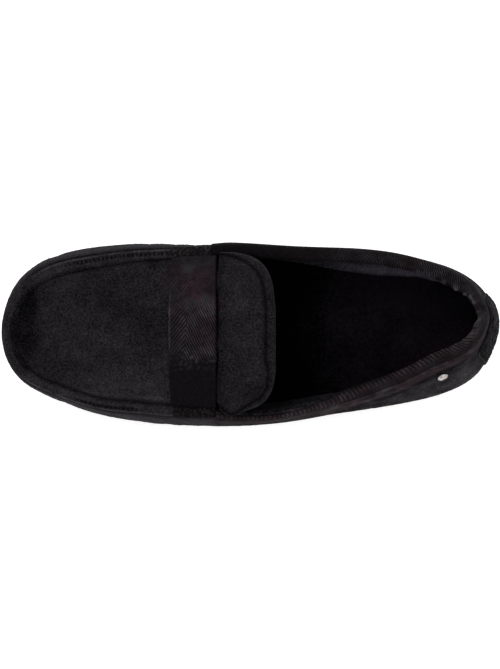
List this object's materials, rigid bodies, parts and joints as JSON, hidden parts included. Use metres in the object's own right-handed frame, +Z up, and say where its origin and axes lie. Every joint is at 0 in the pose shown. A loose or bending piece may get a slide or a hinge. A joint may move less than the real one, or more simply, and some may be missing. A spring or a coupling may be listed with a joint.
{
  "type": "moccasin slipper",
  "caption": "Left moccasin slipper in black suede with a puckered apron seam, herringbone instep band and collar binding, padded tongue and a flat rubber sole.",
  "frame": {"origin": "centre of the shoe's plan box, on the plane its sole stands on", "axes": "+X towards the heel, -X towards the toe, +Y towards the inner (medial) side of this left shoe, +Z up"},
  "size_m": [0.2922, 0.1074, 0.0864],
  "materials": {
    "suede": "black brushed suede, matt with a soft nap",
    "herringbone": "black and dark burgundy herringbone weave",
    "sole_rubber": "matt black",
    "fleece": "short black fleece",
    "rivet_metal": "satin silver"
  },
  "bodies": {
    "root": {"outsole": "sole_rubber", "insole": "fleece", "upper": "suede", "tongue": "suede", "heel_patch": "suede", "band": "herringbone", "collar_binding": "herringbone", "rivet": "rivet_metal"}
  },
  "joints": []
}
